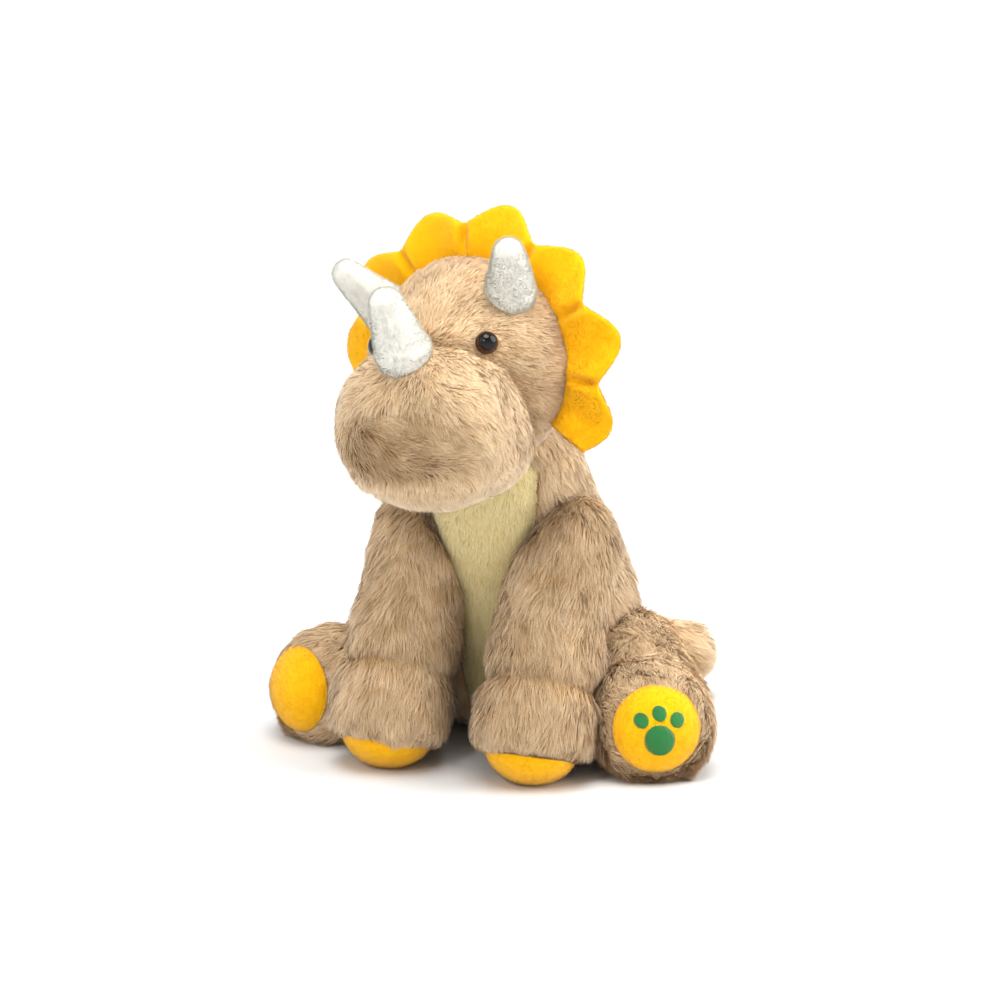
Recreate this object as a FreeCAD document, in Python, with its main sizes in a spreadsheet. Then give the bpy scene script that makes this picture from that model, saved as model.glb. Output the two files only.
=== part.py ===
"""A seated plush triceratops, built as the sewn and stuffed pieces that it is made of.

Units are millimetres, +Z is up and the toy faces -Y, so its own left side is +X.  The origin
is on the floor under the middle of the toy.  Every fabric piece is the space between an outer
and an inner form, and the stuffing is a smaller copy of the inner form.
"""
import FreeCAD, Part
import math
import os
import Sketcher
from FreeCAD import Placement, Rotation, Vector

doc = FreeCAD.newDocument("StuffedTriceratops")

# ---------------------------------------------------------------- driving dimensions
DIMENSIONS = [
    ("fabric", 1.5, "plush fabric with its pressed pile"),
    ("slack", 0.3, "room between a fabric piece and the stuffing in it"),
    ("sewn_gap", 0.05, "room between pieces that are sewn face to face"),
    ("joint_gap", 0.45, "room between two parts that flex against each other"),
    ("middle_x", 0, "middle of the whole toy, off its own centre line"),
    ("middle_y", -24.93, "middle of the whole toy, in front of its own cross line"),
    ("rump_radius", 48, "torso, lower end"),
    ("neck_radius", 36, "torso, upper end, which the head turns on"),
    ("rump_back", 8, "torso, lower centre, behind the origin"),
    ("rump_up", 42, "torso, lower centre, above the floor"),
    ("neck_back", -32, "torso, upper centre, behind the origin"),
    ("neck_up", 130, "torso, upper centre, above the floor"),
    ("base_depth", 6, "height of the seat panel's turned-up rim"),
    ("belly_start", 14, "belly panel edge in front of the toy's cross line"),
    ("belly_top", 52, "belly panel width at the neck"),
    ("belly_low", 26, "belly panel width between the hind legs"),
    ("bag_radius", 26, "pellet bag"),
    ("bag_tall", 18, "pellet bag"),
    ("bag_round", 8, "pellet bag edge"),
    ("bag_up", 3, "pellet bag above the floor"),
    ("wad_radius", 18, "firm wad that holds the neck up"),
    ("label_wide", 16, "care label, out of the seam"),
    ("label_long", 20, "care label, along the seam"),
    ("label_thick", 0.8, "care label, folded double"),
    ("label_up", 22, "care label above the rump centre, along the back"),
    ("label_sunk", 3.5, "care label held in the seam"),
    ("thread_radius", 0.5, "thread of the hand-closed seam"),
    ("thread_long", 44, "hand-closed seam"),
    ("thread_place", 0.62, "middle of the hand-closed seam, as a share of the way up the back"),
    ("head_radius", 45, "head"),
    ("head_back", -64, "head centre, behind the origin"),
    ("head_up", 187, "head centre, above the floor"),
    ("head_turn", 8, "head turned to its own right, degrees"),
    ("head_lean", 6, "head leaning to its own right, degrees"),
    ("forehead_wide", 30, "gusset over the forehead"),
    ("muzzle_radius", 36, "muzzle"),
    ("muzzle_straight", 14, "muzzle, straight run between its rounded ends"),
    ("muzzle_front", 36, "muzzle, in front of the head centre"),
    ("muzzle_drop", 23, "muzzle, below the head centre"),
    ("muzzle_top_seam", 6, "upper muzzle seam above the muzzle centre"),
    ("chin_seam", 15, "lower muzzle seam below the muzzle centre"),
    ("eye_radius", 4.7, "safety eye dome"),
    ("shank_radius", 1.8, "safety eye shank"),
    ("shank_long", 13, "safety eye shank"),
    ("washer_radius", 7.5, "lock washer behind the eye"),
    ("washer_thick", 1.4, "lock washer"),
    ("washer_sunk", 1.3, "lock washer behind the fabric, where its rim meets the round head"),
    ("washer_play", 0.5, "room behind the lock washer"),
    ("washer_room", 4, "room that reaches from behind the lock washer to the fabric"),
    ("brow_base", 11, "brow horn radius at the head"),
    ("brow_tip", 6.3, "brow horn radius at the tip"),
    ("nose_base", 12, "nose horn radius at the muzzle"),
    ("nose_tip", 7, "nose horn radius at the tip"),
    ("frill_edge", 64, "frill radius in the dips between scallops"),
    ("lobe_out", 54.5, "centre of a scallop from the frill centre"),
    ("lobe_radius", 17.5, "scallop"),
    ("lobe_count", 8, "scallops"),
    ("lobe_step", 34, "angle between scallops"),
    ("frill_drop", 3, "frill centre below the head centre"),
    ("frill_deep", 8.4, "frill thickness"),
    ("frill_front", -0.2, "frill front face behind the head centre"),
    ("frill_open", 132, "half the angle that the frill covers"),
    ("shoulder_radius", 21, "front leg at the shoulder"),
    ("paw_radius", 24.5, "front leg at the foot"),
    ("hip_radius", 28, "hind leg at the hip"),
    ("foot_radius", 25, "hind leg at the foot"),
    ("tail_root", 17, "tail at the rump"),
    ("tail_tip", 14, "tail at its end"),
    ("sole_radius", 19.5, "round sole"),
    ("motif_raise", 0.7, "embroidery above the sole"),
    ("motif_pad", 7, "embroidered footprint, heel"),
    ("motif_toe", 3.4, "embroidered footprint, toe"),
    ("motif_drop", 3.5, "embroidered heel below the middle of the sole"),
    ("toe_out", 12, "embroidered toe from the middle of the heel"),
    ("toe_spread", 42, "angle between the embroidered toes"),
]

sizes = doc.addObject("Spreadsheet::Sheet", "Sizes")
for row, (alias, value, meaning) in enumerate(DIMENSIONS, start=1):
    sizes.set("A%d" % row, meaning)
    sizes.set("B%d" % row, str(value))
    sizes.setAlias("B%d" % row, alias)
doc.recompute()


def size(alias):
    """The number in a cell of the sheet."""
    return float(sizes.get(alias))


def bind(thing, **expressions):
    """Tie properties of a document object to cells of the sheet."""
    for name, expression in expressions.items():
        thing.setExpression(name, expression)
    return thing


def cells(text):
    """An expression over cell names, with the sheet's own prefix put in front of each."""
    return " ".join("Sizes." + word if word[0].isalpha() else word for word in text.split())


def amount(text):
    """The value of a sum such as "0 - fabric - slack"."""
    words = ("+ " + text).split()
    total = 0.0
    for sign, word in zip(words[0::2], words[1::2]):
        value = size(word) if word[0].isalpha() else float(word)
        total += value if sign == "+" else -value
    return total


# ---------------------------------------------------------------- places
AXIS_X = Vector(1, 0, 0)
AXIS_Z = Vector(0, 0, 1)


def spot(across, back, up):
    """A point given from the toy's own centre line, in the frame of the finished part."""
    return Vector(across - size("middle_x"), back - size("middle_y"), up)


CENTRE_LINE = Placement(spot(0, 0, 0), Rotation())
RUMP = spot(0, size("rump_back"), size("rump_up"))
NECK = spot(0, size("neck_back"), size("neck_up"))
HEAD = Placement(spot(0, size("head_back"), size("head_up")),
                 Rotation(AXIS_Z, -size("head_turn")) * Rotation(Vector(0, 1, 0), -size("head_lean")))
SHOULDER = spot(34, -38, 101)
PAW = spot(35, -80, 24)
HIP = spot(46, 8, 30)
FOOT = spot(81.5, -52, 24.5)
TAIL_ROOT = spot(4, 44, 27)
TAIL_END = spot(51, 74, 23)
EYE = Vector(27, -33.6, 13)
# The left brow horn is sewn a little higher than the right one.
LEFT_BROW = (Vector(31, -16, 31), Vector(40, -30, 49))
RIGHT_BROW = (Vector(-32, -17, 25), Vector(-42, -32, 43))
NOSE_HORN = (Vector(0, -58, 11), Vector(0, -68, 33))
# Which way each sole faces.
FRONT_SOLE = Vector(0, -0.34, -0.94)
HIND_SOLE = Vector(0.44, -0.89, 0.1)

# How far each limb bends, in degrees, about an axis through its root.
SHOULDER_SWING = (-1, 9, 20)
HIP_SWING = (-1, 9, 20)
TAIL_SWING = (-12, 0, 12)


def along(start, end):
    """A placement at start whose own Z axis points to end."""
    return Placement(start, Rotation(AXIS_Z, end - start))


def in_head(start, end):
    """The same, for two points given in the head's own frame."""
    return HEAD * along(start, end)


# ---------------------------------------------------------------- shared forms
def origin_plane(body, role):
    return next(item for item in body.Origin.OriginFeatures if item.Role == role)


def new_sketch(body, name, role):
    sketch = body.newObject("Sketcher::SketchObject", name)
    sketch.AttachmentSupport = (origin_plane(body, role), [""])
    sketch.MapMode = "FlatFace"
    return sketch


def constrain(sketch, name, constraint, expression):
    """Add a named dimension to a sketch and tie it to the sheet."""
    index = sketch.addConstraint(constraint)
    sketch.renameConstraint(index, name)
    sketch.setExpression("Constraints." + name, expression)


def taper(name, root_cell, end_cell, root, end, grow="0", place=None):
    """A round form whose two ends are balls: one radius at root, another at end."""
    margin = amount(grow)
    root_radius = size(root_cell) + margin
    end_radius = size(end_cell) + margin
    length = (end - root).Length
    slope = math.asin((root_radius - end_radius) / length)
    body = doc.addObject("PartDesign::Body", name)
    sketch = new_sketch(body, name + "_profile", "XZ_Plane")
    top = Vector(0, length, 0)
    lower = Part.ArcOfCircle(Part.Circle(Vector(), AXIS_Z, root_radius), -math.pi / 2, slope)
    upper = Part.ArcOfCircle(Part.Circle(top, AXIS_Z, end_radius), slope, math.pi / 2)
    side = Part.LineSegment(lower.EndPoint, upper.StartPoint)
    middle = Part.LineSegment(upper.EndPoint, lower.StartPoint)
    for edge in (lower, side, upper, middle):
        sketch.addGeometry(edge, False)
    start_point, end_point, centre_point = 1, 2, 3
    sketch.addConstraint(Sketcher.Constraint("Coincident", 0, centre_point, -1, 1))
    sketch.addConstraint(Sketcher.Constraint("PointOnObject", 2, centre_point, -2))
    sketch.addConstraint(Sketcher.Constraint("Tangent", 0, end_point, 1, start_point))
    sketch.addConstraint(Sketcher.Constraint("Tangent", 1, end_point, 2, start_point))
    sketch.addConstraint(Sketcher.Constraint("Coincident", 2, end_point, 3, start_point))
    sketch.addConstraint(Sketcher.Constraint("Coincident", 3, end_point, 0, start_point))
    sketch.addConstraint(Sketcher.Constraint("PointOnObject", 3, start_point, -2))
    sketch.addConstraint(Sketcher.Constraint("PointOnObject", 3, end_point, -2))
    sketch.addConstraint(Sketcher.Constraint("DistanceY", -1, 1, 2, centre_point, length))
    constrain(sketch, "root_radius", Sketcher.Constraint("Radius", 0, root_radius),
              cells(root_cell + " + " + grow))
    constrain(sketch, "end_radius", Sketcher.Constraint("Radius", 2, end_radius),
              cells(end_cell + " + " + grow))
    turned = body.newObject("PartDesign::Revolution", name + "_turned")
    turned.Profile = (sketch, [""])
    turned.ReferenceAxis = (sketch, ["V_Axis"])
    turned.Angle = 360
    body.Placement = place if place is not None else along(root, end)
    return body


def ball(name, radius, place):
    """A sphere whose radius is an expression over the sheet."""
    thing = bind(doc.addObject("Part::Sphere", name), Radius=cells(radius))
    thing.Placement = place if isinstance(place, Placement) else Placement(place, Rotation())
    return thing


def rod(name, radius, height, place):
    thing = bind(doc.addObject("Part::Cylinder", name), Radius=cells(radius), Height=cells(height))
    thing.Placement = place
    return thing


def block(name, length, width, height, place):
    """A box whose own origin is one corner."""
    thing = doc.addObject("Part::Box", name)
    thing.Length, thing.Width, thing.Height = length, width, height
    thing.Placement = place
    return thing


def cut(name, base, *tools):
    """Base with each tool taken away in turn."""
    for number, tool in enumerate(tools, start=1):
        step = doc.addObject("Part::Cut", name if number == len(tools) else "%s_cut%d" % (name, number))
        step.Base = base
        step.Tool = tool
        base = step
    return base


def common(name, base, tool):
    thing = doc.addObject("Part::Common", name)
    thing.Base = base
    thing.Tool = tool
    return thing


def joined(name, *things):
    thing = doc.addObject("Part::MultiFuse", name)
    thing.Shapes = list(things)
    return thing


def moved(name, thing, place):
    """A copy of a whole form at another place."""
    copy = doc.addObject("Part::Compound", name)
    copy.Links = [thing]
    copy.Placement = place
    return copy


def mirrored(name, thing):
    """The same piece on the toy's other side."""
    copy = doc.addObject("Part::Mirroring", name)
    copy.Source = thing
    copy.Base = spot(0, 0, 0)
    copy.Normal = AXIS_X
    return copy


PIECES = []
FLOOR_REACH = 400


def piece(name, thing):
    """Name a finished piece of the toy."""
    thing.Label = name
    PIECES.append(thing)
    return thing


def side_block(name, place, sign=1):
    """A large box on the +X side (or -X side) of a frame, to part a skin into two panels."""
    reach = 2 * FLOOR_REACH
    corner = Vector(0 if sign > 0 else -reach, -reach / 2, -reach / 2)
    return block(name, reach, reach, reach, place * Placement(corner, Rotation()))


# The three nested forms of every stuffed part: outside, inside of the fabric, stuffing.
OUTSIDE = "0"
INSIDE = "0 - fabric"
FILLING = "0 - fabric - slack"
LAYERS = (("outside", OUTSIDE, 0.0), ("inside", INSIDE, size("fabric")),
          ("filling", FILLING, size("fabric") + size("slack")))

floors = {}
for layer, _, lift in LAYERS:
    floor_corner = Vector(-FLOOR_REACH / 2, -FLOOR_REACH / 2, lift - FLOOR_REACH)
    floors[layer] = block("below_" + layer, FLOOR_REACH, FLOOR_REACH, FLOOR_REACH,
                          Placement(floor_corner, Rotation()))


# ---------------------------------------------------------------- torso
def make_torso():
    """The pear-shaped torso: fabric panels, stuffing, pellet bag, label and closing seam."""
    torso = {}
    for layer, grow, _ in LAYERS:
        form = taper("torso_" + layer, "rump_radius", "neck_radius", RUMP, NECK, grow)
        torso[layer] = cut("torso_flat_" + layer, form, floors[layer])
    skin = cut("torso_skin", torso["outside"], torso["inside"])

    rim = block("base_zone", FLOOR_REACH, FLOOR_REACH, size("base_depth"),
                Placement(Vector(-FLOOR_REACH / 2, -FLOOR_REACH / 2, 0), Rotation()))
    bind(rim, Height="Sizes.base_depth")
    piece("base_panel", common("base_panel", skin, rim))
    walls = cut("torso_walls", skin, rim)

    # The belly panel is wide under the chin and narrows between the legs.
    front = doc.addObject("Part::Wedge", "belly_zone")
    bind(front, Xmin="-Sizes.belly_low / 2", Xmax="Sizes.belly_low / 2",
         X2min="-Sizes.belly_top / 2", X2max="Sizes.belly_top / 2", Ymax="Sizes.neck_up",
         Zmin="Sizes.belly_start", Z2min="Sizes.belly_start")
    front.Ymin = 0
    front.Zmax, front.Z2max = FLOOR_REACH, FLOOR_REACH
    front.Placement = CENTRE_LINE * Placement(Vector(), Rotation(AXIS_X, 90))
    piece("belly_panel", common("belly_panel", walls, front))
    sides = cut("torso_sides", walls, front)

    # The seam up the back was closed by hand: its thread lies in the seam, above the label.
    lean = NECK - RUMP
    lean.normalize()
    outward = Vector(0, lean.z, -lean.y)
    share = size("thread_place")
    back_radius = size("rump_radius") + (size("neck_radius") - size("rump_radius")) * share
    seam_middle = RUMP + (NECK - RUMP) * share + outward * (back_radius - size("fabric") / 2)
    seam_low = seam_middle - lean * (size("thread_long") / 2)
    thread = rod("closing_seam_thread", "thread_radius", "thread_long", along(seam_low, seam_middle))
    label_foot = RUMP + lean * size("label_up") + outward * (size("rump_radius") - size("label_sunk"))
    label = bind(doc.addObject("Part::Box", "care_label"), Length="Sizes.label_thick",
                 Width="Sizes.label_wide", Height="Sizes.label_long")
    label.Placement = Placement(label_foot, Rotation(AXIS_X, math.degrees(math.atan2(-lean.y, lean.z)))) * (
        Placement(Vector(-size("label_thick") / 2, 0, -size("label_long") / 2), Rotation()))
    for side, sign in (("left", 1), ("right", -1)):
        half = common(side + "_torso_half", sides, side_block(side + "_torso_zone", CENTRE_LINE, sign))
        piece(side + "_torso_panel", cut(side + "_torso_panel", half, thread, label))
    piece("closing_seam_thread", thread)
    piece("care_label", label)

    bag = {}
    for layer, grow, lift in LAYERS:
        bag[layer] = puck("bag_" + layer, grow, lift)
    piece("pellet_bag", cut("pellet_bag", bag["outside"], bag["inside"]))
    piece("pellets", bag["filling"])
    piece("neck_wad", ball("neck_wad", "wad_radius", NECK))
    piece("torso_stuffing", cut("torso_stuffing", torso["filling"], puck("bag_room", "slack", -size("slack")),
                                ball("wad_room", "wad_radius + slack", NECK), label, thread))


def puck(name, grow, lift):
    """The round pellet bag with soft edges: a disc with a rounded rim, lifted off the seat."""
    body = doc.addObject("PartDesign::Body", name)
    sketch = new_sketch(body, name + "_outline", "XY_Plane")
    sketch.addGeometry(Part.Circle(Vector(), AXIS_Z, size("bag_radius") + amount(grow)), False)
    sketch.addConstraint(Sketcher.Constraint("Coincident", 0, 3, -1, 1))
    constrain(sketch, "radius", Sketcher.Constraint("Radius", 0, size("bag_radius") + amount(grow)),
              cells("bag_radius + " + grow))
    pad = body.newObject("PartDesign::Pad", name + "_pad")
    pad.Profile = (sketch, [""])
    bind(pad, Length=cells("bag_tall + 2 * ( %s )" % grow))
    doc.recompute()
    rounded = body.newObject("PartDesign::Fillet", name + "_rim")
    rounded.Base = (pad, [edge for edge in ("Edge%d" % n for n in range(1, len(pad.Shape.Edges) + 1))
                          if isinstance(pad.Shape.getElement(edge).Curve, Part.Circle)])
    bind(rounded, Radius=cells("bag_round + " + grow))
    body.Placement = Placement(spot(0, size("rump_back"), size("bag_up") + lift), Rotation())
    return body


# ---------------------------------------------------------------- limbs
def make_limb(name, root_cell, end_cell, root, end, swing, axis, sole_way=None):
    """One stuffed limb on the toy's left side.

    The side that lies on the torso is cut back to the torso's own form, as far as the limb
    swings, so that it never presses into it.  Returns its pieces by name.
    """
    place = along(root, end)
    forms = {}
    for layer, grow, lift in LAYERS:
        form = taper("%s_form_%s" % (name, layer), root_cell, end_cell, root, end, grow)
        clear = taper("%s_clear_%s" % (name, layer), "rump_radius", "neck_radius", RUMP, NECK,
                      "joint_gap + " + grow.replace("-", "+"))
        tools = [floors[layer]]
        for number, angle in enumerate(swing):
            turn = Placement(Vector(), Rotation(axis, -angle), root)
            tools.append(moved("%s_clear_%s_%d" % (name, layer, number), clear, turn))
        forms[layer] = cut("%s_%s" % (name, layer), form, *tools)
    skin = cut(name + "_skin", forms["outside"], forms["inside"])
    pieces = {name + "_stuffing": forms["filling"]}
    if sole_way:
        zone = rod(name + "_sole_zone", "sole_radius", "4 * paw_radius", along(end, end + sole_way))
        pieces[name + "_sole"] = common(name + "_sole", skin, zone)
        skin = cut(name + "_sleeve", skin, zone)
    zone = side_block(name + "_zone", place)
    pieces[name + "_outer_panel"] = common(name + "_outer_panel", skin, zone)
    pieces[name + "_inner_panel"] = cut(name + "_inner_panel", skin, zone)
    return pieces


def make_pair(name, *limb):
    """A limb on each side: the right one mirrors the left one."""
    for label, thing in make_limb(name, *limb).items():
        piece("left_" + label, thing)
        piece("right_" + label, mirrored("right_" + label, thing))


def make_motif():
    """A three-toed footprint, raised in thread on the left hind sole."""
    upright = Placement(FOOT, Rotation(Vector(), AXIS_Z, HIND_SOLE, "ZYX"))
    raised = cut("motif_layer", ball("motif_outside", "foot_radius + sewn_gap + motif_raise", upright),
                 ball("motif_inside", "foot_radius + sewn_gap", upright))
    middle = upright * Placement(Vector(0, -size("motif_drop"), 0), Rotation())
    outlines = [rod("motif_heel", "motif_pad", "2 * foot_radius", middle)]
    for number in (-1, 0, 1):
        turn = Placement(Vector(), Rotation(AXIS_Z, 90 + number * size("toe_spread")))
        outlines.append(rod("motif_toe_%d" % (number + 2), "motif_toe", "2 * foot_radius",
                            middle * turn * Placement(Vector(size("toe_out"), 0, 0), Rotation())))
    piece("footprint_embroidery", common("footprint_embroidery", raised, joined("motif_outline", *outlines)))


def make_tail():
    """The blunt tail, which lies to the toy's left."""
    pieces = make_limb("tail", "tail_root", "tail_tip", TAIL_ROOT, TAIL_END, TAIL_SWING, AXIS_Z)
    for label, thing in pieces.items():
        piece(label, thing)


# ---------------------------------------------------------------- head
def muzzle_form(name, grow):
    half = size("muzzle_straight") / 2
    low = Vector(-half, -size("muzzle_front"), -size("muzzle_drop"))
    high = Vector(half, -size("muzzle_front"), -size("muzzle_drop"))
    return taper(name, "muzzle_radius", "muzzle_radius", low, high, grow, in_head(low, high))


def level_block(name, low, high):
    """A slab of the head's own frame between two heights."""
    return block(name, FLOOR_REACH, FLOOR_REACH, high - low,
                 HEAD * Placement(Vector(-FLOOR_REACH / 2, -FLOOR_REACH / 2, low), Rotation()))


def make_head():
    """The head ball and the muzzle: panels outside, stuffing inside, hollow over the neck."""
    socket = {}
    head = {}
    muzzle = {}
    for layer, grow, _ in LAYERS:
        margin = grow.replace("-", "+")
        socket[layer] = ball("neck_room_" + layer, "neck_radius + joint_gap + " + margin, NECK)
        head[layer] = cut("head_" + layer, ball("head_ball_" + layer, "head_radius + " + grow, HEAD),
                          socket[layer])
        muzzle[layer] = muzzle_form("muzzle_" + layer, grow)
    shank_rooms, washer_rooms = eye_rooms()

    skin = cut("head_skin", head["outside"], head["inside"], muzzle["outside"], *shank_rooms)
    rear_corner = Vector(-FLOOR_REACH / 2, size("frill_deep") / 2, -FLOOR_REACH / 2)
    rear = block("head_rear_zone", FLOOR_REACH, FLOOR_REACH, FLOOR_REACH,
                 HEAD * Placement(rear_corner, Rotation()))
    piece("head_back_panel", common("head_back_panel", skin, rear))
    face = cut("face", skin, rear)
    gusset = block("gusset_zone", size("forehead_wide"), FLOOR_REACH, FLOOR_REACH,
                   HEAD * Placement(Vector(-size("forehead_wide") / 2, -FLOOR_REACH / 2, 0), Rotation()))
    bind(gusset, Length="Sizes.forehead_wide")
    piece("forehead_panel", common("forehead_panel", face, gusset))
    cheeks = cut("cheeks", face, gusset)
    for side, sign in (("left", 1), ("right", -1)):
        piece(side + "_cheek_panel",
              common(side + "_cheek_panel", cheeks, side_block(side + "_cheek_zone", HEAD, sign)))
    piece("head_stuffing", cut("head_stuffing", head["filling"], *shank_rooms, *washer_rooms))

    whole_head = ball("whole_head", "head_radius + sewn_gap", HEAD)
    shell = cut("muzzle_skin", muzzle["outside"], muzzle["inside"], whole_head)
    top_seam = size("muzzle_top_seam") - size("muzzle_drop")
    chin_seam = -size("chin_seam") - size("muzzle_drop")
    far = 2 * size("head_radius")
    piece("muzzle_top_panel",
          common("muzzle_top_panel", shell, level_block("muzzle_top_zone", top_seam, far)))
    piece("muzzle_front_panel",
          common("muzzle_front_panel", shell, level_block("muzzle_front_zone", chin_seam, top_seam)))
    piece("chin_panel", common("chin_panel", shell, level_block("chin_zone", -far, chin_seam)))
    core = ball("head_core", "head_radius - fabric", HEAD)
    piece("muzzle_stuffing", cut("muzzle_stuffing", muzzle["filling"], core))
    return whole_head, muzzle["outside"]


def eye_place(side):
    """On the head's surface, with Z outward, for side 1 (left) or -1 (right)."""
    outward = Vector(EYE.x * side, EYE.y, EYE.z)
    outward.normalize()
    surface = size("head_radius") + 2 * size("sewn_gap")
    return in_head(outward * surface, outward * (surface + 1))


def washer_depth():
    """The back face of a lock washer, from the eye's seat."""
    return -amount("fabric + washer_thick + washer_sunk")


def eye_rooms():
    """Holes for the shanks, and pockets in the stuffing for the lock washers."""
    shanks = []
    pockets = []
    for side, name in ((1, "left"), (-1, "right")):
        place = eye_place(side)
        deep = Placement(Vector(0, 0, -size("shank_long") - 1), Rotation())
        pocket = Placement(Vector(0, 0, washer_depth() - size("washer_play")), Rotation())
        shanks.append(rod(name + "_shank_room", "shank_radius + slack", "shank_long + 2", place * deep))
        pockets.append(rod(name + "_washer_room", "washer_radius + slack", "washer_thick + washer_room",
                           place * pocket))
    return shanks, pockets


def make_eyes():
    """Safety eyes: a dome outside on a shank that runs through the fabric to a lock washer."""
    for side, name in ((1, "left"), (-1, "right")):
        place = eye_place(side)
        dome = ball(name + "_eye_dome", "eye_radius", place)
        dome.Angle1 = 0
        shank = rod(name + "_eye_shank", "shank_radius", "shank_long + 0.5",
                    place * Placement(Vector(0, 0, -size("shank_long")), Rotation()))
        piece(name + "_eye", joined(name + "_eye", dome, shank))
        seat = place * Placement(Vector(0, 0, washer_depth()), Rotation())
        disc = rod(name + "_washer_disc", "washer_radius", "washer_thick", seat)
        bore = rod(name + "_washer_bore", "shank_radius + sewn_gap", "washer_thick", seat)
        piece(name + "_eye_washer", cut(name + "_eye_washer", disc, bore))


def make_horn(name, root_cell, end_cell, root, end, under):
    """A stuffed horn, sewn to the form under it."""
    forms = {}
    for layer, grow, _ in LAYERS:
        form = taper("%s_%s" % (name, layer), root_cell, end_cell, root, end, grow, in_head(root, end))
        forms[layer] = cut("%s_foot_%s" % (name, layer), form, under)
    piece(name + "_cover", cut(name + "_cover", forms["outside"], forms["inside"]))
    piece(name + "_stuffing", forms["filling"])


def frill_form(name, inset, start, depth):
    """A scalloped collar: a ring with round lobes, open below, from start for a depth."""
    body = doc.addObject("PartDesign::Body", name)
    ring = new_sketch(body, name + "_ring", "XY_Plane")
    edge = size("frill_edge") - amount(inset)
    ring.addGeometry(Part.Circle(Vector(), AXIS_Z, edge), False)
    ring.addConstraint(Sketcher.Constraint("Coincident", 0, 3, -1, 1))
    constrain(ring, "edge", Sketcher.Constraint("Radius", 0, edge), cells("frill_edge - ( %s )" % inset))
    plate = body.newObject("PartDesign::Pad", name + "_plate")
    plate.Profile = (ring, [""])
    bind(plate, Length=cells(depth))

    first = math.radians(90 - size("lobe_step") * (size("lobe_count") - 1) / 2)
    middle = Vector(math.cos(first), math.sin(first), 0) * size("lobe_out")
    lobe = new_sketch(body, name + "_lobe", "XY_Plane")
    lobe.addGeometry(Part.Circle(middle, AXIS_Z, size("lobe_radius") - amount(inset)), False)
    lobe.addConstraint(Sketcher.Constraint("DistanceX", -1, 1, 0, 3, middle.x))
    lobe.addConstraint(Sketcher.Constraint("DistanceY", -1, 1, 0, 3, middle.y))
    constrain(lobe, "lobe", Sketcher.Constraint("Radius", 0, size("lobe_radius") - amount(inset)),
              cells("lobe_radius - ( %s )" % inset))
    scallop = body.newObject("PartDesign::Pad", name + "_scallop")
    scallop.Profile = (lobe, [""])
    bind(scallop, Length=cells(depth))
    around = body.newObject("PartDesign::PolarPattern", name + "_scallops")
    around.Originals = [scallop]
    around.Axis = (origin_plane(body, "Z_Axis"), [""])
    bind(around, Angle="Sizes.lobe_step * (Sizes.lobe_count - 1)", Occurrences="Sizes.lobe_count")
    body.Tip = around
    # The body's own Z runs backward through the head, and its Y is the head's up.
    flip = Rotation(Vector(-1, 0, 0), Vector(0, 0, 1), Vector(0, 1, 0), "XYZ")
    body.Placement = HEAD * Placement(Vector(0, amount(start), -size("frill_drop")), flip)
    return body


def make_frill():
    """Front and back fabric, sewn together round the scallops over a thin wadding."""
    half = amount("frill_deep") / 2
    head_hole = rod("frill_hole", "head_radius + slack", "2 * frill_deep",
                    HEAD * Placement(Vector(0, -size("frill_deep") / 2, 0), Rotation(AXIS_X, -90)))
    # The collar stops short of the throat: this wedge is the part it leaves open.
    open_half = math.radians(180 - size("frill_open"))
    far = 2 * size("frill_edge")
    corner = Vector(far * math.sin(open_half), 0, -far * math.cos(open_half))
    depth = 2 * size("frill_deep")
    throat = doc.addObject("Part::Wedge", "frill_throat")
    throat.Xmin, throat.Xmax = -corner.x, corner.x
    throat.X2min, throat.X2max = -0.1, 0.1
    throat.Ymin, throat.Ymax = 0, -corner.z
    throat.Zmin, throat.Z2min = -depth, -depth
    throat.Zmax, throat.Z2max = depth, depth
    throat.Placement = HEAD * Placement(Vector(0, 0, corner.z), Rotation(AXIS_X, 90))
    front_face = "frill_front"
    shapes = {
        "front": frill_form("frill_front_form", "0", front_face, "frill_deep / 2"),
        "back": frill_form("frill_back_form", "0", front_face, "frill_deep / 2"),
        "hollow": frill_form("frill_hollow", "fabric", front_face, "frill_deep - 2 * fabric"),
        "wadding": frill_form("frill_wadding_form", "fabric + slack", front_face,
                              "frill_deep - 2 * fabric - 2 * slack"),
    }
    starts = {"back": half, "hollow": amount("fabric"), "wadding": amount("fabric + slack")}
    for key, shift in starts.items():
        shapes[key].Placement = shapes[key].Placement * Placement(Vector(0, 0, shift), Rotation())
    piece("frill_front", cut("frill_front", shapes["front"], shapes["hollow"], head_hole, throat))
    piece("frill_back", cut("frill_back", shapes["back"], shapes["hollow"], head_hole, throat))
    piece("frill_wadding", cut("frill_wadding", shapes["wadding"], head_hole, throat))


# ---------------------------------------------------------------- the toy
make_torso()
make_pair("front_leg", "shoulder_radius", "paw_radius", SHOULDER, PAW, SHOULDER_SWING,
          Vector(-1, 0, 0), FRONT_SOLE)
make_pair("hind_leg", "hip_radius", "foot_radius", HIP, FOOT, HIP_SWING, AXIS_Z, HIND_SOLE)
make_motif()
make_tail()
head_solid, muzzle_solid = make_head()
make_eyes()
make_frill()
make_horn("nose_horn", "nose_base", "nose_tip", *NOSE_HORN, muzzle_solid)
make_horn("left_brow_horn", "brow_base", "brow_tip", *LEFT_BROW, head_solid)
make_horn("right_brow_horn", "brow_base", "brow_tip", *RIGHT_BROW, head_solid)
doc.recompute()

# ---------------------------------------------------------------- checks and output
for thing in doc.Objects:
    if "Invalid" in thing.State or "Error" in thing.State:
        raise RuntimeError("%s was not built: %s" % (thing.Name, thing.State))

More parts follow.
